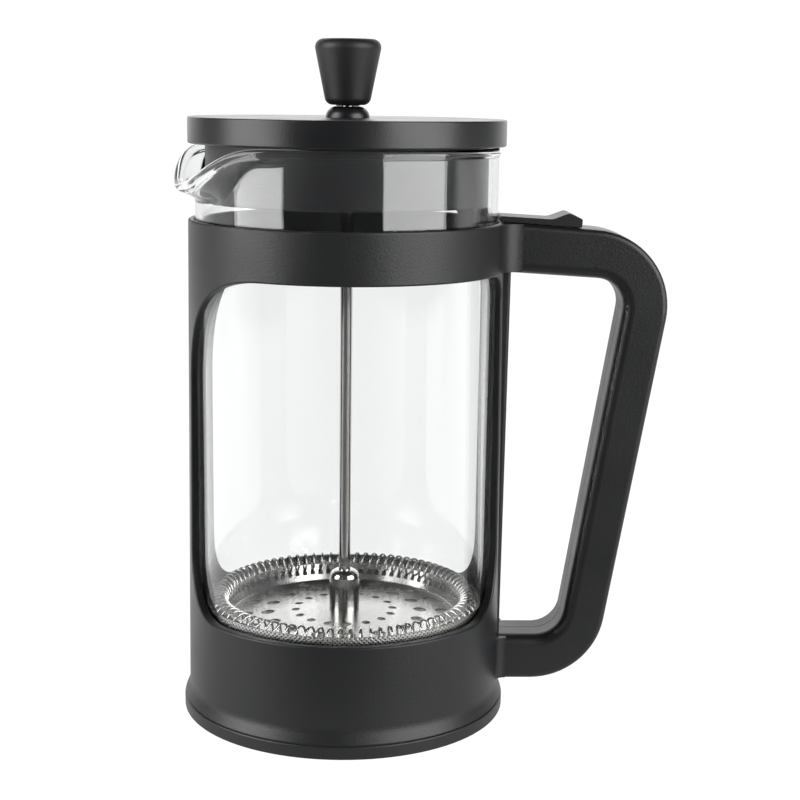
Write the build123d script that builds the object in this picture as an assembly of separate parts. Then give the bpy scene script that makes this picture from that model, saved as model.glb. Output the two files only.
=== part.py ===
from build123d import *

import math
import os

# French press: a glass beaker held in a moulded frame with a D-handle, under a lid that guides a
# plunger with a spring-edged filter. Millimetres, +Z up. The origin is the centre of the foot's
# underside, on the beaker's axis. The handle points to +X and the frame's windows face +Y and -Y.
# The plunger is at the bottom of its stroke.

JOIN_TOL = 1e-6

# Beaker
GLASS_R = 48.5
GLASS_WALL = 2.2
GLASS_TOP = 185.7
GLASS_CORNER = 9.0
RIM_R = 49.2
RIM_HEIGHT = 2.6
SPOUT_TURN = 199.6
SPOUT_LOW = 168.5
SPOUT_LOW_CENTRE = 28.0
SPOUT_LOW_R = 20.5
SPOUT_TOP = 186.0
SPOUT_TOP_CENTRE = 38.9
SPOUT_TOP_R = 27.1
SPOUT_WALL = 2.6
SPOUT_TIP_R = 55.6
SPOUT_TIP_Z = 175.6
SPOUT_ROOT_X = 40.2

# Frame shell
SEAT_GAP = 0.3
BORE_GAP = 0.4
FLOOR_TOP = 11.4
FLOOR_THICK = 2.6
SHELL_LOW_R = 51.65
SHELL_TOP_R = 50.7
SHELL_LOW_Z = 8.6
COLLAR_TOP = 162.3
FOOT_R = 53.4
FOOT_BORE_R = 49.4
FOOT_LIP = 4.4
FOOT_FLARE_R = 5.0
GROOVE_DEPTH = 0.5
GROOVE_WIDTH = 0.5
EDGE_R = 0.6
INNER_R = 1.5

# Frame windows: their ends are square to the wall, an angle round from the middle of each window
WINDOW_LOW = 35.6
WINDOW_TOP = 146.2
WINDOW_HALF = 75.5
WINDOW_REACH = 60.0
WINDOW_R_SPOUT_TOP = 36.0
WINDOW_R_HANDLE_TOP = 8.0
WINDOW_R_LOW = 20.0
WINDOW_EDGE_R = 0.6

# Handle, an outline in the XZ plane with a gap for the fingers
HANDLE_W = 20.0
HANDLE_ROOT_X = 49.9
HANDLE_ROOT_TOP = 162.3
HANDLE_ROOT_LOW = 10.4
HANDLE_TOP_CORNER = (107.4, 158.4, 25.0)
HANDLE_LOW_CORNER = (83.0, 10.4, 24.5)
GAP_TOP = 146.3
GAP_TOP_CORNER = (90.4, 144.1, 9.0)
GAP_LOW_CORNER = (71.8, 25.1, 9.5)
OUTER_EDGE_R = 1.8
GAP_EDGE_R = 3.6
ARM_BLEND_R = 8.0
LOW_BLEND_R = 4.0
BLEND_MARGIN = 0.4
RIB_LOW_X = 51.8
RIB_TOP_X = 52.8
RIB_W = 13.0
RIB_EDGE_R = 1.0
SEAM_W = 0.3
SEAM_DEPTH = 0.2

# Latch, a slide on the upper arm whose tongue stops beside the glass. Its own x runs along the
# arm's sloping top from the collar's edge and its z stands off the arm.
LATCH_ROOT = (49.0, 162.3)
LATCH_FALL = 3.88
LATCH_W = 15.0
LATCH_GAP = 0.3
LATCH_START = -0.1
LATCH_END = 26.0
LATCH_TOP = 1.95
LATCH_DIP = (16.4, 2.2, 4.0)
LATCH_CREST = (21.7, 4.6, 2.4)
LATCH_HEEL = (26.0, 2.9, 0.6)
KEY_START = 5.0
KEY_LENGTH = 12.0
KEY_NECK_W = 4.0
KEY_NECK_H = 2.4
KEY_FOOT_W = 8.0
KEY_FOOT_H = 1.8
KEY_PLAY = 0.35
LATCH_TRAVEL = 8.0

# Lid
LID_R = 50.7
LID_LOW = 186.0
LID_TOP = 194.3
LID_WALL = 2.0
LID_EDGE_R = 0.5
LINER_R = 45.2
LINER_FLANGE_R = 48.4
LINER_WALL = 1.8
LINER_LOW = 167.7
TAB_DROP = 7.0
TAB_HALF_TOP = 25.2
TAB_HALF_LOW = 19.8

# Rod, its guide and the knob
ROD_R = 2.0
ROD_LOW = 26.2
ROD_TOP = 210.5
GUIDE_BORE_R = 2.06
GUIDE_STEM_R = 4.2
GUIDE_DOME_R = 7.05
GUIDE_TOP = 197.9
GUIDE_CLIP_R = 5.4
GUIDE_CLIP_THICK = 1.6
STEM_PLAY = 0.05
KNOB_LOW = 198.0
KNOB_TOP = 218.8
KNOB_BOSS_R = 3.7
KNOB_BOSS_H = 0.3
KNOB_LOW_R = 6.93
KNOB_LOW_EDGE_R = 2.6
KNOB_TOP_R = 11.05
KNOB_TOP_EDGE_R = 2.6
INSERT_R = 3.6
INSERT_LOW = 201.0
INSERT_GROOVE_LOW = 205.0
INSERT_GROOVE_H = 1.4
INSERT_GROOVE_DEPTH = 0.5

# Filter
COIL_CENTRE_R = 42.0
COIL_CENTRE_Z = 35.75
COIL_TURN_R = 3.2
COIL_WIRE_R = 0.4
COIL_TURNS = 84
SHEET = 0.6
PLATE_CENTRE_Z = 31.9
PLATE_CENTRE_R = 7.0
PLATE_EDGE_R = 38.2
PLATE_EDGE_Z = 29.3
PLATE_EDGE_BEND_R = 0.8
PLATE_LIP_R = 41.2
PLATE_LIP_Z = 35.4
PLATE_HOLES = [(16.3, 1.4), (25.6, 2.2), (33.4, 2.7)]
PLATE_HOLE_ROWS = 16
PLATE_HOLE_START = 3.5
COIL_HOLE_R = 0.85
COIL_HOLE_ANGLE = 53.0
FERRULE_R = 5.05
FERRULE_TOP = 45.6
FERRULE_DOME_R = 2.9
FERRULE_SEAM_Z = 33.1
FERRULE_SEAM_W = 0.3
FERRULE_SEAM_DEPTH = 0.15
MESH_SHEET = 0.3
MESH_TURN_R = 4.0
MESH_TURN_START = -105.0
MESH_TURN_END = 25.0
MESH_SPAN_R = 38.8
CROSS_SHEET = 0.8
CROSS_R = 37.0
CROSS_HUB_R = 8.0
CROSS_RIM_W = 3.5
CROSS_ARM_W = 7.0
NUT_R = 5.2
NUT_H = 4.0


def outline(corners, plane=Plane.XZ):
    """A closed face from corners given as (x, y, radius), drawn on a plane."""
    edges = []
    last = None
    for (x, y, radius), before, after in zip(corners, corners[-1:] + corners, corners[1:] + corners[:1]):
        here = Vector(x, y)
        back = (Vector(*before[:2]) - here).normalized()
        ahead = (Vector(*after[:2]) - here).normalized()
        half = math.radians(back.get_angle(ahead)) / 2
        start = here + back * (radius / math.tan(half))
        end = here + ahead * (radius / math.tan(half))
        if last is None:
            first = start
        elif (start - last).length > JOIN_TOL:
            edges.append(Line(last, start))
        if radius:
            middle = here + (back + ahead).normalized() * (radius / math.sin(half) - radius)
            edges.append(ThreePointArc(start, middle, end))
        last = end
    edges.append(Line(last, first))
    return plane * make_face(edges)


def turned(corners):
    """A solid turned about the Z axis from corners given as (radius, height, corner radius)."""
    return revolve(outline(corners), Axis.Z)


def slab(corners, width):
    """A plate cut to an outline in the XZ plane, centred on Y = 0."""
    return extrude(outline(corners), width / 2, both=True)


def tube(outer, inner, low, high):
    """A plain ring about the Z axis."""
    wall = Cylinder(outer, high - low) - Cylinder(inner, high - low)
    return Pos(0, 0, (low + high) / 2) * wall


def round_bar(radius, low, high):
    """A plain cylinder on the Z axis."""
    return Pos(0, 0, (low + high) / 2) * Cylinder(radius, high - low)


# ---------------------------------------------------------------- frame

def shell_r(z):
    """The frame's outer radius at a height: the wall has a slight draft."""
    share = (z - SHELL_LOW_Z) / (COLLAR_TOP - SHELL_LOW_Z)
    return SHELL_LOW_R + (SHELL_TOP_R - SHELL_LOW_R) * share


def frame_shell():
    """The round body of the frame: foot, cup, struts and collar before the windows are cut."""
    bore = GLASS_R + BORE_GAP
    floor_low = FLOOR_TOP - FLOOR_THICK
    return turned([
        (FOOT_BORE_R, 0, 0),
        (FOOT_R, 0, EDGE_R),
        (FOOT_R, FOOT_LIP, EDGE_R),
        (FOOT_R - GROOVE_DEPTH, FOOT_LIP, 0),
        (FOOT_R - GROOVE_DEPTH, FOOT_LIP + GROOVE_WIDTH, 0),
        (FOOT_R - GROOVE_WIDTH / 2, FOOT_LIP + GROOVE_WIDTH, 0),
        (SHELL_LOW_R, SHELL_LOW_Z, FOOT_FLARE_R),
        (SHELL_TOP_R, COLLAR_TOP, EDGE_R),
        (bore, COLLAR_TOP, EDGE_R),
        (bore, FLOOR_TOP, INNER_R),
        (0, FLOOR_TOP, 0),
        (0, floor_low, 0),
        (FOOT_BORE_R, floor_low, INNER_R),
    ])


def window_half(top_r):
    """Cutter for the spout-side half of the front window, square to the wall at its end."""
    turn = math.radians(WINDOW_HALF)
    across = (math.cos(turn), -math.sin(turn), 0)
    along = (-math.sin(turn), -math.cos(turn), 0)
    face = outline([
        (0, WINDOW_LOW, WINDOW_R_LOW),
        (WINDOW_REACH, WINDOW_LOW, 0),
        (WINDOW_REACH, WINDOW_TOP, 0),
        (0, WINDOW_TOP, top_r),
    ], Plane(origin=(0, 0, 0), x_dir=across, z_dir=along))
    return extrude(face, WINDOW_REACH)


def windows():
    """Cutters for the front and back windows, each with a wide corner at the top by the spout."""
    front = window_half(WINDOW_R_SPOUT_TOP) + mirror(window_half(WINDOW_R_HANDLE_TOP), Plane.YZ)
    return front + mirror(front, Plane.XZ)


def on_window_rim(edge):
    """Whether an edge runs round a window on the shell's outer face."""
    middle = edge @ 0.5
    beside = math.hypot(middle.X, middle.Y) > SHELL_TOP_R - EDGE_R and abs(middle.Y) > EDGE_R
    return beside and WINDOW_LOW - JOIN_TOL < middle.Z < WINDOW_TOP + JOIN_TOL


def arm_blend(low, high, radius):
    """Fills the hollow corners between an arm's sides and the round shell, seen from above."""
    ring = shell_r((low + high) / 2)
    half = HANDLE_W / 2
    centre = Vector(math.sqrt((ring + radius) ** 2 - (half + radius) ** 2), half + radius)
    on_ring = centre * (ring / centre.length)
    on_arm = Vector(centre.X, half)
    middle = centre + ((on_ring + on_arm) / 2 - centre).normalized() * radius
    inside = on_ring * ((ring - 1) / ring)
    side = [
        Line(inside, on_ring),
        ThreePointArc(on_ring, middle, on_arm),
        Line(on_arm, Vector(on_arm.X, -half)),
    ]
    other = [
        ThreePointArc(*[Vector(point.X, -point.Y) for point in (on_arm, middle, on_ring)]),
        Line(Vector(on_ring.X, -on_ring.Y), Vector(inside.X, -inside.Y)),
        Line(Vector(inside.X, -inside.Y), inside),
    ]
    return Pos(0, 0, low) * extrude(make_face(side + other), high - low, dir=(0, 0, 1))


def on_a_side(edge):
    """Whether an edge lies on one of the grip's two flat sides, clear of the shell."""
    middle = edge @ 0.5
    return abs(abs(middle.Y) - HANDLE_W / 2) < JOIN_TOL and middle.X > HANDLE_ROOT_X + 1


def grip():
    """The D-handle's bar and arms: a rounded outline with the finger gap cut through it."""
    bar = slab([
        (HANDLE_ROOT_X, HANDLE_ROOT_LOW, 0),
        HANDLE_LOW_CORNER,
        HANDLE_TOP_CORNER,
        (HANDLE_ROOT_X, HANDLE_ROOT_TOP, 0),
    ], HANDLE_W)
    bar = fillet(bar.edges().filter_by(on_a_side), OUTER_EDGE_R)
    bar -= slab([
        (GLASS_R - GAP_EDGE_R, GAP_LOW_CORNER[1], 0),
        GAP_LOW_CORNER,
        GAP_TOP_CORNER,
        (RIB_TOP_X, GAP_TOP, 0),
        (GLASS_R - GAP_EDGE_R, GAP_TOP, 0),
    ], 2 * HANDLE_W)
    gap_rims = [edge for edge in bar.edges().filter_by(on_a_side)
                if GAP_LOW_CORNER[1] - JOIN_TOL < (edge @ 0.5).Z < GAP_TOP + JOIN_TOL]
    return fillet(gap_rims, GAP_EDGE_R)


def rib():
    """The flat rib down the strut between the handle's two roots."""
    bar = slab([
        (HANDLE_ROOT_X, GAP_LOW_CORNER[1] - 1, 0),
        (RIB_LOW_X, GAP_LOW_CORNER[1] - 1, 0),
        (RIB_TOP_X, GAP_TOP + 1, 0),
        (HANDLE_ROOT_X, GAP_TOP + 1, 0),
    ], RIB_W)
    corners = [edge for edge in bar.edges() if (edge @ 0.5).X > RIB_LOW_X and edge.length > RIB_W]
    return fillet(corners, RIB_EDGE_R)


def seam():
    """Cutter for the fine groove left by the mould's parting line, inside the finger gap."""
    depth = SEAM_DEPTH
    return slab([
        (RIB_LOW_X - depth, GAP_LOW_CORNER[1] - depth, 0),
        (GAP_LOW_CORNER[0] + depth, GAP_LOW_CORNER[1] - depth, GAP_LOW_CORNER[2] + depth),
        (GAP_TOP_CORNER[0] + depth, GAP_TOP_CORNER[1] + depth, GAP_TOP_CORNER[2] + depth),
        (RIB_TOP_X - depth, GAP_TOP + depth, 0),
    ], SEAM_W)


def on_the_arm(shape):
    """Moves a shape drawn in the latch's own axes onto the arm's sloping top."""
    x, z = LATCH_ROOT
    return Pos(x, 0, z) * Rot(0, LATCH_FALL, 0) * shape


def key(play, run):
    """The latch's T-shaped key, or with play and a run the slot that it slides in."""
    length = KEY_LENGTH + run + 2 * play
    middle = KEY_START - play + length / 2
    neck_low = -KEY_NECK_H + LATCH_GAP
    neck_high = LATCH_TOP - LATCH_GAP
    neck = Pos(middle, 0, (neck_low + neck_high) / 2)
    neck *= Box(length, KEY_NECK_W + 2 * play, neck_high - neck_low)
    foot = Pos(middle, 0, neck_low - KEY_FOOT_H / 2)
    foot *= Box(length, KEY_FOOT_W + 2 * play, KEY_FOOT_H + 2 * play)
    return neck + foot


def frame():
    """The frame is one moulding: foot, cup, two struts, collar and handle."""
    body = frame_shell() - windows()
    body = fillet(body.edges().filter_by(on_window_rim), WINDOW_EDGE_R)
    body += grip()
    body += rib()
    body += arm_blend(GAP_TOP + BLEND_MARGIN, HANDLE_ROOT_TOP - BLEND_MARGIN, ARM_BLEND_R)
    body += arm_blend(HANDLE_ROOT_LOW + BLEND_MARGIN, GAP_LOW_CORNER[1] - BLEND_MARGIN, LOW_BLEND_R)
    body -= seam()
    body -= round_bar(GLASS_R + BORE_GAP, FLOOR_TOP + INNER_R, GLASS_TOP)
    return body - on_the_arm(key(KEY_PLAY, LATCH_TRAVEL))


def latch():
    """The slide on the upper arm, with a thumb bump and a key held in the arm."""
    plate = slab([
        (LATCH_START, LATCH_GAP, 0),
        (LATCH_END, LATCH_GAP, LATCH_GAP),
        LATCH_HEEL,
        LATCH_CREST,
        LATCH_DIP,
        (LATCH_START, LATCH_TOP, LATCH_GAP),
    ], LATCH_W)
    return on_the_arm(plate + key(0, 0))


# ---------------------------------------------------------------- beaker

def spout_cone(wall):
    """A leaning cone that swells from the beaker's wall towards the rim, less a wall thickness."""
    low = Pos(SPOUT_LOW_CENTRE, 0, SPOUT_LOW) * Circle(SPOUT_LOW_R - wall)
    high = Pos(SPOUT_TOP_CENTRE, 0, SPOUT_TOP) * Circle(SPOUT_TOP_R - wall)
    return loft([low, high], ruled=True)


def lip_cutter():
    """Everything above the plane of the pouring lip, which dips from the rim to the tip."""
    fall = (SPOUT_TOP - SPOUT_TIP_Z) / (SPOUT_TIP_R - SPOUT_ROOT_X)
    far = SPOUT_TIP_R - SPOUT_ROOT_X + RIM_R
    return slab([
        (SPOUT_ROOT_X, SPOUT_TOP, 0),
        (SPOUT_ROOT_X + far, SPOUT_TOP - fall * far, 0),
        (SPOUT_ROOT_X + far, SPOUT_TOP, 0),
    ], 2 * GLASS_R)


def beaker():
    """The glass: a straight beaker with a beaded rim and a pouring spout."""
    low = FLOOR_TOP + SEAT_GAP
    inner = GLASS_R - GLASS_WALL
    outside = turned([
        (0, low, 0),
        (GLASS_R, low, GLASS_CORNER),
        (GLASS_R, GLASS_TOP - RIM_HEIGHT, 0),
        (RIM_R, GLASS_TOP - RIM_HEIGHT, EDGE_R),
        (RIM_R, GLASS_TOP, EDGE_R),
        (0, GLASS_TOP, 0),
    ])
    inside = turned([
        (0, low + GLASS_WALL, 0),
        (inner, low + GLASS_WALL, GLASS_CORNER - GLASS_WALL),
        (inner, SPOUT_TOP, 0),
        (0, SPOUT_TOP, 0),
    ])
    body = outside + spout_cone(0) - inside - spout_cone(SPOUT_WALL) - lip_cutter()
    body -= Pos(0, 0, GLASS_TOP + RIM_R) * Box(4 * RIM_R, 4 * RIM_R, 2 * RIM_R)
    return Rot(0, 0, SPOUT_TURN) * body


# ---------------------------------------------------------------- lid

def lid_cap():
    """The lid's outer shell, with a hole for the rod's guide."""
    hole = GUIDE_STEM_R + STEM_PLAY
    return turned([
        (hole, LID_TOP, 0),
        (LID_R, LID_TOP, LID_EDGE_R),
        (LID_R, LID_LOW, EDGE_R),
        (LID_R - LID_WALL, LID_LOW, EDGE_R),
        (LID_R - LID_WALL, LID_TOP - LID_WALL, 0),
        (hole, LID_TOP - LID_WALL, 0),
    ])


def skirt_tab():
    """The tab that deepens the lining's skirt over the handle, and shuts the spout when the lid is turned."""
    low = LINER_LOW - TAB_DROP
    ring = tube(LINER_R, LINER_R - LINER_WALL, low, LINER_LOW + LINER_WALL)
    width = slab([
        (-TAB_HALF_TOP, LINER_LOW + LINER_WALL, 0),
        (-TAB_HALF_TOP, LINER_LOW, 0),
        (-TAB_HALF_LOW, low, 0),
        (TAB_HALF_LOW, low, 0),
        (TAB_HALF_TOP, LINER_LOW, 0),
        (TAB_HALF_TOP, LINER_LOW + LINER_WALL, 0),
    ], LINER_R)
    return ring & (Pos(LINER_R, 0, 0) * Rot(0, 0, 90) * width)


def lid_liner():
    """The lining under the lid, whose skirt hangs inside the glass."""
    hole = GUIDE_STEM_R + STEM_PLAY
    web_top = LID_TOP - LID_WALL
    web_low = web_top - LINER_WALL
    skirt = turned([
        (hole, web_top, 0),
        (LINER_FLANGE_R, web_top, 0),
        (LINER_FLANGE_R, web_low, EDGE_R),
        (LINER_R, web_low, EDGE_R),
        (LINER_R, LINER_LOW, EDGE_R),
        (LINER_R - LINER_WALL, LINER_LOW, EDGE_R),
        (LINER_R - LINER_WALL, web_low, INNER_R),
        (hole, web_low, 0),
    ])
    return skirt + skirt_tab()


def rod_guide():
    """The bush that the rod runs through: a dome on the lid and a clip under its lining."""
    clip_top = LID_TOP - LID_WALL - LINER_WALL
    dome = GUIDE_TOP - LID_TOP
    return turned([
        (GUIDE_BORE_R, clip_top - GUIDE_CLIP_THICK, 0),
        (GUIDE_CLIP_R, clip_top - GUIDE_CLIP_THICK, EDGE_R),
        (GUIDE_CLIP_R, clip_top, 0),
        (GUIDE_STEM_R, clip_top, 0),
        (GUIDE_STEM_R, LID_TOP, 0),
        (GUIDE_DOME_R, LID_TOP, 0),
        (GUIDE_DOME_R, GUIDE_TOP, dome - STEM_PLAY),
        (GUIDE_BORE_R, GUIDE_TOP, 0),
    ])


# ---------------------------------------------------------------- plunger

def knob_insert():
    """The threaded sleeve moulded into the knob, with a groove that holds it."""
    groove_r = INSERT_R - INSERT_GROOVE_DEPTH
    groove_top = INSERT_GROOVE_LOW + INSERT_GROOVE_H
    return turned([
        (ROD_R, INSERT_LOW, 0),
        (INSERT_R, INSERT_LOW, 0),
        (INSERT_R, INSERT_GROOVE_LOW, 0),
        (groove_r, INSERT_GROOVE_LOW, 0),
        (groove_r, groove_top, 0),
        (INSERT_R, groove_top, 0),
        (INSERT_R, ROD_TOP, 0),
        (ROD_R, ROD_TOP, 0),
    ])


def knob():
    """The plunger's knob, which widens to a rounded top and closes over its insert."""
    body = turned([
        (ROD_R, KNOB_LOW, 0),
        (KNOB_BOSS_R, KNOB_LOW, 0),
        (KNOB_BOSS_R, KNOB_LOW + KNOB_BOSS_H, 0),
        (KNOB_LOW_R, KNOB_LOW + KNOB_BOSS_H, KNOB_LOW_EDGE_R),
        (KNOB_TOP_R, KNOB_TOP, KNOB_TOP_EDGE_R),
        (0, KNOB_TOP, 0),
        (0, ROD_TOP, 0),
        (ROD_R, ROD_TOP, 0),
    ])
    return body - knob_insert()


def rod():
    """The plunger's rod."""
    bar = round_bar(ROD_R, ROD_LOW, ROD_TOP)
    return chamfer(bar.edges().sort_by(Axis.Z)[0], SEAM_W)


def rod_ferrule():
    """The domed sleeve that clamps the filter from above."""
    seam_r = FERRULE_R - FERRULE_SEAM_DEPTH
    seam_top = FERRULE_SEAM_Z + FERRULE_SEAM_W
    return turned([
        (ROD_R, PLATE_CENTRE_Z + SHEET, 0),
        (FERRULE_R, PLATE_CENTRE_Z + SHEET, 0),
        (FERRULE_R, FERRULE_SEAM_Z, 0),
        (seam_r, FERRULE_SEAM_Z, 0),
        (seam_r, seam_top, 0),
        (FERRULE_R, seam_top, 0),
        (FERRULE_R, FERRULE_TOP, FERRULE_DOME_R),
        (ROD_R, FERRULE_TOP, 0),
    ])


def dish_z(r):
    """Height of the filter plate's underside: flat at the centre, then falling to its edge."""
    fall = (PLATE_CENTRE_Z - PLATE_EDGE_Z) / (PLATE_EDGE_R - PLATE_CENTRE_R)
    return PLATE_CENTRE_Z - max(r - PLATE_CENTRE_R, 0) * fall


def spiral_plate():
    """The upper filter plate: a shallow dish with drainage holes and a rim that carries the coil."""
    wall = SHEET / math.cos(math.atan2(PLATE_LIP_R - PLATE_EDGE_R, PLATE_LIP_Z - PLATE_EDGE_Z))
    sheet = turned([
        (ROD_R, PLATE_CENTRE_Z, 0),
        (PLATE_CENTRE_R, PLATE_CENTRE_Z, 0),
        (PLATE_EDGE_R, PLATE_EDGE_Z, PLATE_EDGE_BEND_R + SHEET),
        (PLATE_LIP_R, PLATE_LIP_Z, 0),
        (PLATE_LIP_R - wall, PLATE_LIP_Z, 0),
        (PLATE_EDGE_R - wall / 2, PLATE_EDGE_Z + SHEET, PLATE_EDGE_BEND_R),
        (PLATE_CENTRE_R, PLATE_CENTRE_Z + SHEET, 0),
        (ROD_R, PLATE_CENTRE_Z + SHEET, 0),
    ])
    drills = []
    for row in range(PLATE_HOLE_ROWS):
        turn = Rot(0, 0, PLATE_HOLE_START + row * 360 / PLATE_HOLE_ROWS)
        for ring_r, hole_r in PLATE_HOLES:
            drills.append(turn * Pos(ring_r, 0, PLATE_CENTRE_Z) * Cylinder(hole_r, 2 * NUT_H))
    return sheet - drills - coil_holes()


def coil_holes():
    """Cutters for the row of holes in the plate's rim, one for each turn of the coil."""
    z = COIL_CENTRE_Z - COIL_TURN_R * math.sin(math.radians(COIL_HOLE_ANGLE))
    r = COIL_CENTRE_R - COIL_TURN_R * math.cos(math.radians(COIL_HOLE_ANGLE))
    cutters = []
    for turn in range(COIL_TURNS):
        hole = Rot(0, 0, turn * 360 / COIL_TURNS) * Pos(r, 0, z) * Rot(0, COIL_HOLE_ANGLE, 0)
        cutters.append(hole * Cylinder(COIL_HOLE_R, COIL_TURN_R))
    return cutters


def coil_spring():
    """The edge spring, drawn as one closed ring of wire for each of its turns."""
    ring = Pos(COIL_CENTRE_R, 0, COIL_CENTRE_Z) * Rot(90, 0, 0) * Torus(COIL_TURN_R, COIL_WIRE_R)
    return Compound([Rot(0, 0, turn * 360 / COIL_TURNS) * ring for turn in range(COIL_TURNS)])


def coil_point(radius, angle):
    """A point of the mesh's rolled edge, at a distance and an angle from the coil's centre."""
    turn = math.radians(angle)
    return Vector(COIL_CENTRE_R + radius * math.cos(turn), COIL_CENTRE_Z + radius * math.sin(turn))


def mesh_screen():
    """The woven screen: it follows the plate's underside and turns up round the coil."""
    far = MESH_TURN_R
    near = MESH_TURN_R - MESH_SHEET
    first, last = MESH_TURN_START, MESH_TURN_END
    middle = (first + last) / 2
    drop = Vector(0, MESH_SHEET)
    centre = Vector(PLATE_CENTRE_R, PLATE_CENTRE_Z)
    axis = Vector(ROD_R, PLATE_CENTRE_Z)
    edge = Vector(MESH_SPAN_R, dish_z(MESH_SPAN_R))
    section = [
        Line(axis, centre),
        Line(centre, edge),
        Line(edge, coil_point(near, first)),
        ThreePointArc(coil_point(near, first), coil_point(near, middle), coil_point(near, last)),
        Line(coil_point(near, last), coil_point(far, last)),
        ThreePointArc(coil_point(far, last), coil_point(far, middle), coil_point(far, first)),
        Line(coil_point(far, first), edge - drop),
        Line(edge - drop, centre - drop),
        Line(centre - drop, axis - drop),
        Line(axis - drop, axis),
    ]
    return revolve(Plane.XZ * make_face(section), Axis.Z)


def cross_plate():
    """The lower plate: a hub, four arms and a rim that hold the screen against the upper plate."""
    top = -MESH_SHEET
    low = top - CROSS_SHEET
    sheet = turned([
        (ROD_R, PLATE_CENTRE_Z + top, 0),
        (PLATE_CENTRE_R, PLATE_CENTRE_Z + top, 0),
        (CROSS_R, dish_z(CROSS_R) + top, 0),
        (CROSS_R, dish_z(CROSS_R) + low, 0),
        (PLATE_CENTRE_R, PLATE_CENTRE_Z + low, 0),
        (ROD_R, PLATE_CENTRE_Z + low, 0),
    ])
    rim = CROSS_R - CROSS_RIM_W
    openings = tube(rim, CROSS_HUB_R, PLATE_EDGE_Z - NUT_H, PLATE_CENTRE_Z + NUT_H)
    openings -= Box(2 * CROSS_R, CROSS_ARM_W, 4 * CROSS_R)
    openings -= Box(CROSS_ARM_W, 2 * CROSS_R, 4 * CROSS_R)
    return sheet - openings


def hub_nut():
    """The nut that clamps the filter from below."""
    top = PLATE_CENTRE_Z - MESH_SHEET - CROSS_SHEET
    body = Pos(0, 0, top - NUT_H) * extrude(RegularPolygon(NUT_R, 6), NUT_H)
    return body - round_bar(ROD_R, ROD_LOW, ROD_TOP)


NODES = {
    "frame": frame,
    "latch": latch,
    "beaker": beaker,
    "lid_cap": lid_cap,
    "lid_liner": lid_liner,
    "rod_guide": rod_guide,
    "knob": knob,
    "knob_insert": knob_insert,
    "rod": rod,
    "rod_ferrule": rod_ferrule,
    "spiral_plate": spiral_plate,
    "coil_spring": coil_spring,
    "mesh_screen": mesh_screen,
    "cross_plate": cross_plate,
    "hub_nut": hub_nut,
}


def main():
    """Builds every piece and writes one STEP file for each."""
    os.makedirs("parts", exist_ok=True)
    for name, build in NODES.items():
        export_step(build(), f"parts/{name}.step")


if __name__ == "__main__":
    main()
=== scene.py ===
import logging
import math
from dataclasses import dataclass, field

import bmesh
import bpy
from mathutils import Matrix, Vector


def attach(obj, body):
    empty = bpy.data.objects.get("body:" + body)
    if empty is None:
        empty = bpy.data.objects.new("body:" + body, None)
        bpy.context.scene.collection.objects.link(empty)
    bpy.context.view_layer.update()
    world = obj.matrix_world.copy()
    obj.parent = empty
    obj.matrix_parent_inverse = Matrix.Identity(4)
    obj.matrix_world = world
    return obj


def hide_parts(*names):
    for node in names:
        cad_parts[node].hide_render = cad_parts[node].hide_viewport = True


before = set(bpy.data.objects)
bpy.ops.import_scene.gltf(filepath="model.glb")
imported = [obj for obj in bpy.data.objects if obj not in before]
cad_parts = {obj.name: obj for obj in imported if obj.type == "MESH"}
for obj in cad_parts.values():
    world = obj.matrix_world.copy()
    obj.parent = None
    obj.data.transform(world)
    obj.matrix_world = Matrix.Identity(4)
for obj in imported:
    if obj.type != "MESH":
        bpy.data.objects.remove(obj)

LOG = logging.getLogger("french_press")
MM = 0.001
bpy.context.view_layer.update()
JOIN_DISTANCE = 1e-7

# The sRGB curve: a straight foot below the knee, a power above it.
SRGB_KNEE = 0.04045
SRGB_FOOT_SLOPE = 12.92
SRGB_OFFSET = 0.055
SRGB_POWER = 2.4

# A wave texture turns through this phase for each unit of its scale and of length.
WAVE_PHASE = 20.0


# ---------------------------------------------------------------- small tools

def linear(code: str) -> tuple[float, float, float, float]:
    """Turn an sRGB hex code into a linear colour.

    Args:
        code: Six hex digits with a leading hash sign.

    Returns:
        Red, green, blue and an alpha of one, in linear light.
    """
    values = [int(code[i:i + 2], 16) / 255 for i in (1, 3, 5)]
    lit = [v / SRGB_FOOT_SLOPE if v <= SRGB_KNEE else ((v + SRGB_OFFSET) / (1 + SRGB_OFFSET)) ** SRGB_POWER
           for v in values]
    return (*lit, 1.0)


def add(tree: bpy.types.NodeTree, kind: str, links: dict[str | int, bpy.types.NodeSocket] | None = None,
        **settings: object) -> bpy.types.Node:
    """Add one shader node with its settings and its incoming links.

    Args:
        tree: The node tree that gets the node.
        kind: The node's type name.
        links: Input name or number to the output socket that feeds it.
        **settings: Node properties by name, and input defaults under "inputs".

    Returns:
        The new node.
    """
    node = tree.nodes.new(kind)
    for name, value in settings.pop("inputs", {}).items():
        node.inputs[name].default_value = value
    for name, value in settings.items():
        setattr(node, name, value)
    for name, socket in (links or {}).items():
        tree.links.new(socket, node.inputs[name])
    return node


def finished_object(name: str, mesh: bmesh.types.BMesh, material: bpy.types.Material,
                    smooth: bool = True) -> bpy.types.Object:
    """Make a scene object out of a bmesh, at the origin and untransformed.

    Args:
        name: The object's name.
        mesh: The shape, which is freed.
        material: Its finish.
        smooth: Whether its faces are shaded smooth.

    Returns:
        The linked object.
    """
    for face in mesh.faces:
        face.smooth = smooth
    data = bpy.data.meshes.new(name)
    mesh.to_mesh(data)
    mesh.free()
    data.materials.append(material)
    made = bpy.data.objects.new(name, data)
    bpy.context.scene.collection.objects.link(made)
    return made


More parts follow.
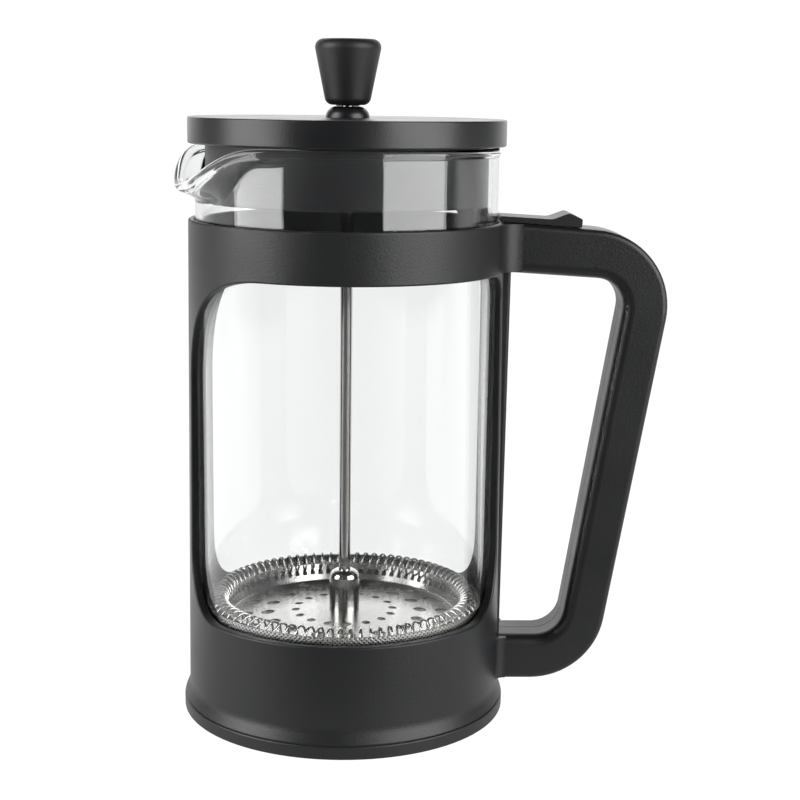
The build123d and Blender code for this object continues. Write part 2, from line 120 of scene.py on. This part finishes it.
def arc(centre: tuple[float, float], radius: float, angles: tuple[float, float],
        step: float) -> list[tuple[float, float]]:
    """Lay points along an arc of a section.

    Args:
        centre: The arc's centre, as a radius and a height.
        radius: The arc's own radius.
        angles: First and last angle in degrees, anticlockwise from straight outwards.
        step: Degrees from one point to the next.

    Returns:
        (radius, height) pairs, in the units of the centre.
    """
    count = round((angles[1] - angles[0]) / step)
    turns = [math.radians(angles[0] + step * i) for i in range(count + 1)]
    return [(centre[0] + radius * math.cos(a), centre[1] + radius * math.sin(a)) for a in turns]


def evenly(low: float, high: float, count: int) -> list[float]:
    """Divide a stretch into equal steps, with both ends included."""
    return [low + (high - low) * k / count for k in range(count + 1)]


def spun(profile: list[tuple[float, float]], steps: int) -> bmesh.types.BMesh:
    """Spin an open profile about the Z axis into a round shape.

    Args:
        profile: (radius, height) pairs in millimetres.
        steps: Divisions of the full turn.

    Returns:
        The spun bmesh, in metres, with its normals outwards.
    """
    mesh = bmesh.new()
    points = [mesh.verts.new((r * MM, 0.0, z * MM)) for r, z in profile]
    edges = [mesh.edges.new(pair) for pair in zip(points, points[1:])]
    bmesh.ops.spin(mesh, geom=points + edges, cent=(0, 0, 0), axis=(0, 0, 1),
                   angle=math.tau, steps=steps, use_merge=True)
    bmesh.ops.remove_doubles(mesh, verts=mesh.verts, dist=JOIN_DISTANCE)
    bmesh.ops.recalc_face_normals(mesh, faces=mesh.faces)
    return mesh


def dress(node: str, material: bpy.types.Material) -> None:
    """Give a CAD node its finish.

    Args:
        node: The CAD node's name.
        material: The finish.
    """
    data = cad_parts[node].data
    data.materials.clear()
    data.materials.append(material)


def smoothstep(low: float, high: float, value: float) -> float:
    """Rise smoothly from 0 where the value is low to 1 where it is high."""
    t = min(max((value - low) / (high - low), 0.0), 1.0)
    return t * t * (3 - 2 * t)


# ---------------------------------------------------------------- finishes

@dataclass(frozen=True)
class Finish:
    """What every finish has: a name and a base shader."""

    name: str

    def start(self) -> tuple[bpy.types.NodeTree, bpy.types.Node, bpy.types.Material]:
        """Make an empty material with a Principled shader.

        Returns:
            The node tree, the shader node and the material.
        """
        material = bpy.data.materials.new(self.name)
        material.use_nodes = True
        tree = material.node_tree
        return tree, tree.nodes["Principled BSDF"], material


@dataclass(frozen=True)
class MouldedPolypropylene(Finish):
    """Black polypropylene moulded in a spark-eroded tool: a matt grain that softens every highlight.

    The real grain is about 0.2 mm; this one is coarser, so that it shows. The sheen drifts a little from
    patch to patch, as the plastic's flow in the tool leaves it.
    """

    colour: str = "#0b0c0e"
    ior: float = 1.49
    roughness: float = 0.42
    duller: float = 0.04
    shinier: float = 0.03
    patches_per_m: float = 55.0
    grain_mm: float = 0.7
    grain_depth_mm: float = 0.08
    grain_strength: float = 0.7

    def make(self) -> bpy.types.Material:
        """Build the material.

        Returns:
            The finished material.
        """
        tree, shader, material = self.start()
        place = add(tree, "ShaderNodeTexCoord")
        grain = add(tree, "ShaderNodeTexNoise", {"Vector": place.outputs["Object"]},
                    inputs={"Scale": 1 / (self.grain_mm * MM), "Detail": 2.0, "Roughness": 0.6})
        cloud = add(tree, "ShaderNodeTexNoise", {"Vector": place.outputs["Object"]},
                    inputs={"Scale": self.patches_per_m, "Detail": 3.0, "Roughness": 0.5})
        sheen = add(tree, "ShaderNodeMapRange", {"Value": cloud.outputs["Fac"]},
                    inputs={"From Min": 0.3, "From Max": 0.7, "To Min": self.roughness - self.shinier,
                            "To Max": self.roughness + self.duller})
        bump = add(tree, "ShaderNodeBump", {"Height": grain.outputs["Fac"]},
                   inputs={"Strength": self.grain_strength, "Distance": self.grain_depth_mm * MM})
        shader.inputs["Base Color"].default_value = linear(self.colour)
        shader.inputs["IOR"].default_value = self.ior
        tree.links.new(sheen.outputs["Result"], shader.inputs["Roughness"])
        tree.links.new(bump.outputs["Normal"], shader.inputs["Normal"])
        return material


@dataclass(frozen=True)
class BorosilicateGlass(Finish):
    """Clear blown borosilicate glass: colourless, sharp reflections, faint streaks down the wall."""

    colour: str = "#fbfcfc"
    ior: float = 1.473
    streaks_per_m: float = 40.0
    streak_stretch: float = 50.0
    streak_depth_mm: float = 0.1
    streak_strength: float = 0.05

    def make(self) -> bpy.types.Material:
        """Build the material.

        Returns:
            The finished material.
        """
        tree, shader, material = self.start()
        shader.inputs["Base Color"].default_value = linear(self.colour)
        shader.inputs["Roughness"].default_value = 0.0
        shader.inputs["IOR"].default_value = self.ior
        shader.inputs["Transmission Weight"].default_value = 1.0
        place = add(tree, "ShaderNodeTexCoord")
        mapping = add(tree, "ShaderNodeMapping", {"Vector": place.outputs["Object"]},
                      inputs={"Scale": (1.0, 1.0, 1 / self.streak_stretch)})
        streak = add(tree, "ShaderNodeTexNoise", {"Vector": mapping.outputs["Vector"]},
                     inputs={"Scale": self.streaks_per_m, "Detail": 0.0})
        bump = add(tree, "ShaderNodeBump", {"Height": streak.outputs["Fac"]},
                   inputs={"Strength": self.streak_strength, "Distance": self.streak_depth_mm * MM})
        tree.links.new(bump.outputs["Normal"], shader.inputs["Normal"])
        return material


@dataclass(frozen=True)
class PolishedStainless(Finish):
    """Stainless steel, rolled or buffed bright: a grey mirror with the faint haze of its polishing."""

    colour: str = "#c4c3c1"
    roughness: float = 0.13
    haze_share: float = 0.15
    haze_mm: float = 0.5

    def make(self) -> bpy.types.Material:
        """Build the material.

        Returns:
            The finished material.
        """
        tree, shader, material = self.start()
        shader.inputs["Base Color"].default_value = linear(self.colour)
        shader.inputs["Metallic"].default_value = 1.0
        place = add(tree, "ShaderNodeTexCoord")
        haze = add(tree, "ShaderNodeTexNoise", {"Vector": place.outputs["Object"]},
                   inputs={"Scale": 1 / (self.haze_mm * MM), "Detail": 2.0})
        spread = add(tree, "ShaderNodeMapRange", {"Value": haze.outputs["Fac"]},
                     inputs={"To Min": self.roughness * (1 - self.haze_share),
                             "To Max": self.roughness * (1 + self.haze_share)})
        tree.links.new(spread.outputs["Result"], shader.inputs["Roughness"])
        return material


@dataclass(frozen=True)
class WovenStainless(Finish):
    """Plain-woven stainless wire cloth, laid at 45 degrees: a soft grey sparkle, with painted shade in the
    gaps, which are coloured dark in place of the shade seen through the openings.

    The real threads are 0.15 mm apart; these are coarser, so that they show.
    """

    thread: str = "#b9b7b4"
    # Painted shade: the gaps between the threads are coloured near-black, standing in for the dark seen
    # through the openings.
    gap_shade: str = "#1f1e1e"
    roughness: float = 0.42
    thread_mm: float = 0.95
    thread_depth_mm: float = 0.2
    thread_strength: float = 0.9
    bias: float = 45.0

    def make(self) -> bpy.types.Material:
        """Build the material.

        Returns:
            The finished material.
        """
        tree, shader, material = self.start()
        shader.inputs["Metallic"].default_value = 1.0
        shader.inputs["Roughness"].default_value = self.roughness
        place = add(tree, "ShaderNodeTexCoord")
        turned = add(tree, "ShaderNodeMapping", {"Vector": place.outputs["UV"]},
                     inputs={"Rotation": (0.0, 0.0, math.radians(self.bias))})
        scale = math.tau / (WAVE_PHASE * self.thread_mm * MM)
        waves = [add(tree, "ShaderNodeTexWave", {"Vector": turned.outputs["Vector"]}, bands_direction=way,
                     inputs={"Scale": scale}) for way in ("X", "Y")]
        cloth = add(tree, "ShaderNodeMath", {0: waves[0].outputs["Fac"], 1: waves[1].outputs["Fac"]},
                    operation="MAXIMUM")
        # Threads get their steel grey; the gaps get the painted shade.
        threads_and_gap_shade = add(tree, "ShaderNodeMix", {"Factor": cloth.outputs["Value"]}, data_type="RGBA")
        threads_and_gap_shade.inputs["A"].default_value = linear(self.gap_shade)
        threads_and_gap_shade.inputs["B"].default_value = linear(self.thread)
        bump = add(tree, "ShaderNodeBump", {"Height": cloth.outputs["Value"]},
                   inputs={"Strength": self.thread_strength, "Distance": self.thread_depth_mm * MM})
        tree.links.new(threads_and_gap_shade.outputs["Result"], shader.inputs["Base Color"])
        tree.links.new(bump.outputs["Normal"], shader.inputs["Normal"])
        return material


# ---------------------------------------------------------------- beaker

@dataclass
class GlassBeaker:
    """The blown glass beaker with its beaded rim and drawn spout. Sizes in millimetres."""

    outer_r: float = 48.5
    wall: float = 2.2
    base_z: float = 11.7
    top_z: float = 185.7
    corner_r: float = 9.0
    corner_angles: tuple[float, float] = (-90.0, 0.0)
    corner_step: float = 10.0
    bead_out_r: float = 49.2
    bead_r: float = 1.45
    bead_angles: tuple[float, float] = (-50.0, 170.0)
    bead_step: float = 20.0
    bead_root: float = 0.6
    spout_turn: float = 199.6
    spout_root_z: float = 158.0
    belly_z: float = 181.0
    lip_z: float = 182.9
    spout_reach: float = 6.3
    spout_reach_half: float = 60.0
    spout_reach_power: float = 1.8
    spout_dip: float = 11.3
    spout_dip_half: float = 45.0
    spout_dip_power: float = 3.3
    belly_dip: float = 12.8
    belly_from: float = 16.0
    belly_to: float = 37.0
    flare_power: float = 1.6
    wall_rows: tuple[float, ...] = (40.0, 80.0, 120.0, 150.0)
    belly_rows: int = 16
    flare_rows: int = 8
    steps: int = 360
    finish: BorosilicateGlass = BorosilicateGlass("glass_borosilicate_blown")

    def profile(self) -> list[tuple[float, float]]:
        """Lay out the wall's section, up the outside and down the inside.

        Returns:
            (radius, height) pairs, from the axis underneath to the axis inside.
        """
        outer, inner = self.outer_r, self.outer_r - self.wall
        low, floor = self.base_z, self.base_z + self.wall
        small = self.corner_r - self.wall
        corner_out = arc((outer - self.corner_r, low + self.corner_r), self.corner_r, self.corner_angles,
                         self.corner_step)
        corner_in = arc((inner - small, floor + small), small, self.corner_angles, self.corner_step)
        bead = arc((self.bead_out_r - self.bead_r, self.top_z - self.bead_r), self.bead_r, self.bead_angles,
                   self.bead_step)
        heights = [*self.wall_rows, *evenly(self.spout_root_z, self.belly_z, self.belly_rows),
                   *evenly(self.belly_z, self.lip_z, self.flare_rows)[1:]]
        wall_out = [(outer, z) for z in heights]
        wall_in = [(inner, z) for z in heights + [self.lip_z + self.bead_root]]
        outside = [(0.0, low), *corner_out, *wall_out]
        inside = [(0.0, floor), *corner_in, *wall_in]
        return [*outside, *bead, *reversed(inside)]

    def bell(self, turn: float, half: float, power: float) -> float:
        """Fall from 1 at the spout to 0 at half its width, the more steeply the higher the power."""
        return math.cos(min(turn / half, 1.0) * math.pi / 2) ** power

    def drawn(self, point: Vector) -> Vector:
        """Say where a point of the plain wall ends up when the spout is drawn.

        The lip moves out and down by a bell curve about the spout. The wall keeps its radius up to a belly,
        which drops further than the lip does, and turns outwards from there to meet it.

        Args:
            point: A point of the beaker in metres, with the spout along +X.

        Returns:
            The moved point.
        """
        r, z = math.hypot(point.x, point.y) / MM, point.z / MM
        turn = abs(math.degrees(math.atan2(point.y, point.x)))
        reach = self.spout_reach * self.bell(turn, self.spout_reach_half, self.spout_reach_power)
        dip = self.spout_dip * self.bell(turn, self.spout_dip_half, self.spout_dip_power)
        belly = self.belly_z - self.belly_dip * (1 - smoothstep(self.belly_from, self.belly_to, turn))
        flare = min(max((z - self.belly_z) / (self.lip_z - self.belly_z), 0.0), 1.0)
        if z < self.belly_z:
            climb = (z - self.spout_root_z) / (self.belly_z - self.spout_root_z)
            height = self.spout_root_z + climb * (belly - self.spout_root_z)
        else:
            height = belly + flare * (self.lip_z - dip - belly) + max(z - self.lip_z, 0.0)
        share = (r + reach * flare ** self.flare_power) / r
        return Vector((point.x * share, point.y * share, height * MM))

    def build(self) -> bpy.types.Object:
        """Build the beaker and put it in the place of the CAD one.

        Returns:
            The beaker.
        """
        mesh = spun(self.profile(), self.steps)
        for vert in mesh.verts:
            if vert.co.z > self.spout_root_z * MM:
                vert.co = self.drawn(vert.co)
        bmesh.ops.rotate(mesh, verts=mesh.verts, cent=(0, 0, 0),
                         matrix=Matrix.Rotation(math.radians(self.spout_turn), 3, "Z"))
        beaker = finished_object("beaker_glass", mesh, self.finish.make())
        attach(beaker, "beaker")
        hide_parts("beaker")
        return beaker


# ---------------------------------------------------------------- filter

@dataclass
class EdgeSpring:
    """The coil of wire threaded through the plate's rim. Sizes in millimetres."""

    centre_r: float = 42.0
    centre_z: float = 35.75
    turn_r: float = 3.2
    wire_r: float = 0.4
    wire_facets: int = 2
    turns: int = 84
    points_per_turn: int = 20
    hole_angle: float = 53.0
    # Bright-drawn wire: a thin sharp glint on every turn.
    finish: PolishedStainless = PolishedStainless("stainless_wire_bright_drawn", roughness=0.1)

    def build(self) -> bpy.types.Object:
        """Build the spring as one closed coil.

        Returns:
            The spring.
        """
        curve = bpy.data.curves.new("edge_spring", "CURVE")
        curve.dimensions = "3D"
        curve.bevel_depth = self.wire_r * MM
        curve.bevel_resolution = self.wire_facets
        total = self.turns * self.points_per_turn
        spline = curve.splines.new("POLY")
        spline.points.add(total - 1)
        start = math.pi + math.radians(self.hole_angle)
        for i, point in enumerate(spline.points):
            about = math.tau * i / total
            turn = start + math.tau * i / self.points_per_turn
            r = self.centre_r + self.turn_r * math.cos(turn)
            z = self.centre_z + self.turn_r * math.sin(turn)
            point.co = (r * math.cos(about) * MM, r * math.sin(about) * MM, z * MM, 1.0)
        spline.use_cyclic_u = True
        drawn = bpy.data.objects.new("edge_spring_curve", curve)
        bpy.context.scene.collection.objects.link(drawn)
        data = bpy.data.meshes.new_from_object(drawn)
        bpy.data.objects.remove(drawn)
        mesh = bmesh.new()
        mesh.from_mesh(data)
        bpy.data.meshes.remove(data)
        spring = finished_object("edge_spring", mesh, self.finish.make())
        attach(spring, "plunger")
        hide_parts("coil_spring")
        return spring


@dataclass
class WireScreen:
    """The woven screen: a dish that turns up round the coil. Sizes in millimetres."""

    bore_r: float = 2.3
    flat_r: float = 7.0
    flat_z: float = 31.88
    span_r: float = 38.8
    span_z: float = 29.24
    turn_r: float = 3.9
    centre_r: float = 42.0
    centre_z: float = 35.75
    first_angle: float = -105.0
    last_angle: float = 25.0
    angle_step: float = 10.0
    dish_rows: int = 6
    sheet: float = 0.16
    steps: int = 252
    finish: WovenStainless = WovenStainless("stainless_wire_cloth_woven")

    def middle(self) -> list[tuple[float, float]]:
        """Lay out the middle of the sheet's section, from the rod to the free edge.

        Returns:
            (radius, height) pairs in millimetres.
        """
        dish = zip(evenly(self.flat_r, self.span_r, self.dish_rows),
                   evenly(self.flat_z, self.span_z, self.dish_rows))
        rolled = arc((self.centre_r, self.centre_z), self.turn_r, (self.first_angle, self.last_angle),
                     self.angle_step)
        return [(self.bore_r, self.flat_z), *dish, *rolled]

    def along(self, point: Vector) -> float:
        """Measure how far a point of the screen is along its section.

        Args:
            point: The point, in metres.

        Returns:
            The distance from the axis along the dish and round the roll, in metres.
        """
        r, z = math.hypot(point.x, point.y), point.z
        if r < self.span_r * MM:
            return r
        turn = math.atan2(z - self.centre_z * MM, r - self.centre_r * MM) - math.radians(self.first_angle)
        return self.span_r * MM + (turn % math.tau) * self.turn_r * MM

    def build(self) -> bpy.types.Object:
        """Build the screen in place of the CAD one, with its weave laid along and round it.

        Returns:
            The screen.
        """
        mesh = spun([(r, z - self.sheet / 2) for r, z in self.middle()], self.steps)
        bmesh.ops.solidify(mesh, geom=mesh.faces[:], thickness=self.sheet * MM)
        bmesh.ops.recalc_face_normals(mesh, faces=mesh.faces)
        weave = mesh.loops.layers.uv.new("weave")
        for face in mesh.faces:
            middle = face.calc_center_median()
            start = math.atan2(middle.y, middle.x)
            for loop in face.loops:
                spot = loop.vert.co
                turn = math.atan2(spot.y, spot.x)
                turn += math.tau * round((start - turn) / math.tau)
                loop[weave].uv = (turn * self.centre_r * MM, self.along(spot))
        screen = finished_object("wire_screen", mesh, self.finish.make())
        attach(screen, "plunger")
        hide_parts("mesh_screen")
        return screen


# ---------------------------------------------------------------- CAD nodes that keep their shape

@dataclass
class Moulding:
    """The plastic pieces that keep their CAD shape."""

    textured: tuple[str, ...] = ("frame", "latch")
    lid: tuple[str, ...] = ("lid_cap", "rod_guide")
    plain: tuple[str, ...] = ("lid_liner",)
    knob: tuple[str, ...] = ("knob",)

    def build(self) -> None:
        """Dress each piece."""
        # Spark grain: broad soft highlights down the holder and the handle.
        grained = MouldedPolypropylene("polypropylene_spark_grained").make()
        # A matt, greyer moulding: the skirt looks flat behind the glass.
        matt = MouldedPolypropylene("polypropylene_matt", colour="#262628", roughness=0.5).make()
        # A finer grain: the lid's highlights are tighter than the holder's.
        fine = MouldedPolypropylene("polypropylene_fine_grained", roughness=0.33,
                                    grain_depth_mm=0.04).make()
        # Fine and dull: the knob shows only a faint sheen on a deep black.
        silky = MouldedPolypropylene("polypropylene_silky", colour="#070708", roughness=0.5,
                                     grain_depth_mm=0.04).make()
        for names, material in ((self.textured, grained), (self.lid, fine),
                                (self.plain, matt), (self.knob, silky)):
            for name in names:
                dress(name, material)


@dataclass
class Steelwork:
    """The steel pieces that keep their CAD shape."""

    bright: tuple[str, ...] = ("rod", "hub_nut", "knob_insert")
    soft: tuple[str, ...] = ("rod_ferrule",)
    satin: tuple[str, ...] = ("spiral_plate", "cross_plate")

    def build(self) -> None:
        """Dress each piece."""
        # Buffed: clean, sharp reflections along the rod.
        polished = PolishedStainless("stainless_polished", roughness=0.08).make()
        # Cold-rolled sheet, a shade darker: reflections blur into a satin glow.
        rolled = PolishedStainless("stainless_cold_rolled", colour="#b4b3b1", roughness=0.24).make()
        # Deep-drawn: a mirror just softened.
        drawn = PolishedStainless("stainless_deep_drawn", roughness=0.17).make()
        for names, material in ((self.bright, polished), (self.soft, drawn), (self.satin, rolled)):
            for name in names:
                dress(name, material)


# ---------------------------------------------------------------- studio

@dataclass
class Softbox:
    """One large soft light that faces the press. Sizes in metres; the azimuth in degrees."""

    name: str
    azimuth: float
    distance: float
    low: float
    height: float
    width: float
    radiance: float

    def build(self) -> None:
        """Add the light. The azimuth runs from the camera's side round towards the handle."""
        turn = math.radians(self.azimuth)
        place = Vector((math.sin(turn), -math.cos(turn), 0.0)) * self.distance
        place.z = self.low + self.height / 2
        lamp = bpy.data.lights.new(self.name, "AREA")
        lamp.shape = "RECTANGLE"
        lamp.size = self.width
        lamp.size_y = self.height
        lamp.energy = self.radiance * math.pi * self.width * self.height
        made = bpy.data.objects.new(self.name, lamp)
        aim = Vector((0.0, 0.0, place.z)) - place
        made.rotation_euler = aim.to_track_quat("-Z", "Y").to_euler()
        made.location = place
        bpy.context.scene.collection.objects.link(made)


@dataclass
class Studio:
    """A white sweep, soft lights and the camera.

    Places are in metres, angles in degrees, and brightness has white at 1. Each span is the stretch of depth
    over which the brightness goes from the first of its levels to the second. The floor's depth is its
    distance behind the press, and the room's is the share of a direction that points behind it.
    """

    eye: tuple[float, float, float] = (0.0, -0.52173, 0.20325)
    pitch: float = 10.865
    yaw: float = 1.958
    roll: float = 0.769
    lens: float = 72.73
    sensor: float = 36.0
    clip_start: float = 0.01
    white: float = 1.04
    floor_size: float = 6.0
    floor_colour: str = "#6a6a6a"
    floor_roughness: float = 0.6
    near_span: tuple[float, float] = (-0.22, 0.12)
    near_levels: tuple[float, float] = (0.02, 1.0)
    far_span: tuple[float, float] = (0.35, 1.1)
    far_levels: tuple[float, float] = (1.0, 0.72)
    room_span: tuple[float, float] = (0.5, 0.95)
    room_levels: tuple[float, float] = (0.04, 1.9)
    boxes: list[Softbox] = field(default_factory=lambda: [
        Softbox("softbox_spout_side", azimuth=-69, distance=1.0,
                low=0.05, height=1.05, width=0.77, radiance=6.2),
        Softbox("softbox_handle_side", azimuth=52, distance=1.1,
                low=0.05, height=1.05, width=1.05, radiance=5.8),
    ])

    def camera(self) -> None:
        """Place the camera."""
        pitch, yaw, roll = (math.radians(a) for a in (self.pitch, self.yaw, self.roll))
        ahead = Vector((math.sin(yaw) * math.cos(pitch), math.cos(yaw) * math.cos(pitch), -math.sin(pitch)))
        level = Vector((math.cos(yaw), -math.sin(yaw), 0.0))
        upright = level.cross(ahead)
        right = level * math.cos(roll) + upright * math.sin(roll)
        up = upright * math.cos(roll) - level * math.sin(roll)
        data = bpy.data.cameras.new("camera")
        data.lens = self.lens
        data.sensor_width = self.sensor
        data.clip_start = self.clip_start
        made = bpy.data.objects.new("camera", data)
        turn = Matrix((right, up, -ahead)).transposed()
        made.matrix_world = Matrix.Translation(self.eye) @ turn.to_4x4()
        bpy.context.scene.collection.objects.link(made)
        bpy.context.scene.camera = made

    def floor(self) -> None:
        """Lay the white floor."""
        mesh = bmesh.new()
        bmesh.ops.create_grid(mesh, x_segments=1, y_segments=1, size=self.floor_size)
        material = bpy.data.materials.new("floor_white")
        material.use_nodes = True
        tree = material.node_tree
        shader = tree.nodes["Principled BSDF"]
        shader.inputs["Base Color"].default_value = linear(self.floor_colour)
        shader.inputs["Roughness"].default_value = self.floor_roughness
        shader.inputs["Emission Color"].default_value = (1.0, 1.0, 1.0, 1.0)
        place = add(tree, "ShaderNodeTexCoord")
        axes = add(tree, "ShaderNodeSeparateXYZ", {"Vector": place.outputs["Object"]})
        near, far = (
            add(tree, "ShaderNodeMapRange", {"Value": axes.outputs["Y"]}, interpolation_type="SMOOTHSTEP",
                inputs={"From Min": span[0], "From Max": span[1], "To Min": levels[0], "To Max": levels[1]})
            for span, levels in ((self.near_span, self.near_levels), (self.far_span, self.far_levels)))
        glow = add(tree, "ShaderNodeMath", {0: near.outputs["Result"], 1: far.outputs["Result"]},
                   operation="MULTIPLY")
        tree.links.new(glow.outputs["Value"], shader.inputs["Emission Strength"])
        white = add(tree, "ShaderNodeEmission", inputs={"Strength": self.white})
        sweep = add(tree, "ShaderNodeMixShader", {"Fac": self.seen_straight(tree)})
        tree.links.new(shader.outputs["BSDF"], sweep.inputs[1])
        tree.links.new(white.outputs["Emission"], sweep.inputs[2])
        tree.links.new(sweep.outputs["Shader"], tree.nodes["Material Output"].inputs["Surface"])
        floor = finished_object("floor", mesh, material, smooth=False)

    def seen_straight(self, tree: bpy.types.NodeTree) -> bpy.types.NodeSocket:
        """Tell what is looked at, bare or through glass, from what only lights the press or is reflected.

        Args:
            tree: The node tree that gets the nodes.

        Returns:
            A socket that is 1 where the sweep is looked at, and 0 elsewhere.
        """
        path = add(tree, "ShaderNodeLightPath")
        bounced = add(tree, "ShaderNodeMath", operation="ADD",
                      links={0: path.outputs["Glossy Depth"], 1: path.outputs["Diffuse Depth"]})
        straight = add(tree, "ShaderNodeMath", {0: bounced.outputs["Value"]}, operation="LESS_THAN",
                       inputs={1: 0.5})
        return straight.outputs["Value"]

    def room(self) -> None:
        """Make the room: a white sweep behind the press, fading to a dim studio in front of it."""
        world = bpy.data.worlds.new("studio_room")
        bpy.context.scene.world = world
        world.use_nodes = True
        tree = world.node_tree
        place = add(tree, "ShaderNodeTexCoord")
        axes = add(tree, "ShaderNodeSeparateXYZ", {"Vector": place.outputs["Generated"]})
        fade = add(tree, "ShaderNodeMapRange", {"Value": axes.outputs["Y"]},
                   interpolation_type="SMOOTHSTEP",
                   inputs={"From Min": self.room_span[0], "From Max": self.room_span[1],
                           "To Min": self.room_levels[0], "To Max": self.room_levels[1]})
        background = tree.nodes["Background"]
        background.inputs["Color"].default_value = (1.0, 1.0, 1.0, 1.0)
        mix = add(tree, "ShaderNodeMix", {"Factor": self.seen_straight(tree)}, data_type="FLOAT")
        mix.inputs["B"].default_value = self.white
        tree.links.new(fade.outputs["Result"], mix.inputs["A"])
        tree.links.new(mix.outputs["Result"], background.inputs["Strength"])

    def build(self) -> None:
        """Set the studio up."""
        self.room()
        bpy.context.scene.view_settings.view_transform = "Standard"
        self.camera()
        self.floor()
        for box in self.boxes:
            box.build()


def main() -> None:
    """Build the press and its studio."""
    logging.basicConfig(level=logging.INFO)
    for part in (GlassBeaker(), EdgeSpring(), WireScreen(), Moulding(), Steelwork(), Studio()):
        part.build()
        LOG.info("built %s", type(part).__name__)


if __name__ == "__main__":
    main()
